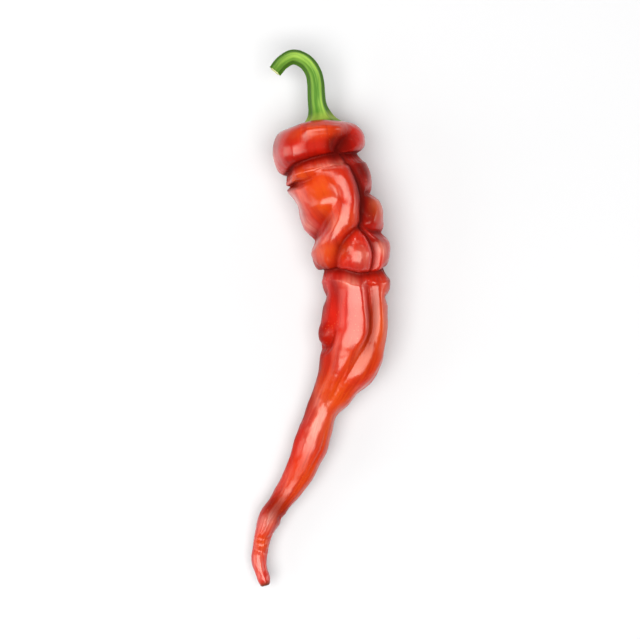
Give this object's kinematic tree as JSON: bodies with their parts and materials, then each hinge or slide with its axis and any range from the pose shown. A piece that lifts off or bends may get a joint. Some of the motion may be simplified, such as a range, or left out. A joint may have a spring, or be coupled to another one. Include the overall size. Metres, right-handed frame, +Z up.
{
  "type": "long sweet frying pepper",
  "caption": "Long, tapering sweet red pepper with a rolled crown, deep crinkled folds, a knobbly side and a hooked green stalk, lying on its side as picked",
  "frame": {"origin": "on the surface that the pepper lies on, at the middle of its bounding box's bottom", "axes": "+Z up. The pepper lies along Y: the stalk points to +Y and the tip of the pod to -Y. +X is the pod's right-hand side, seen from above with the stalk up the page"},
  "size_m": [0.0567, 0.2185, 0.0358],
  "materials": {
    "pod_skin": "thin, waxy, glossy red skin, deeper red in the folds and orange-red where it is stretched",
    "stalk_green": "satin green stalk with pale ribs and a drier, darker cut end"
  },
  "bodies": {
    "root": {"pod": "pod_skin", "calyx_and_stalk": "stalk_green"}
  },
  "joints": []
}
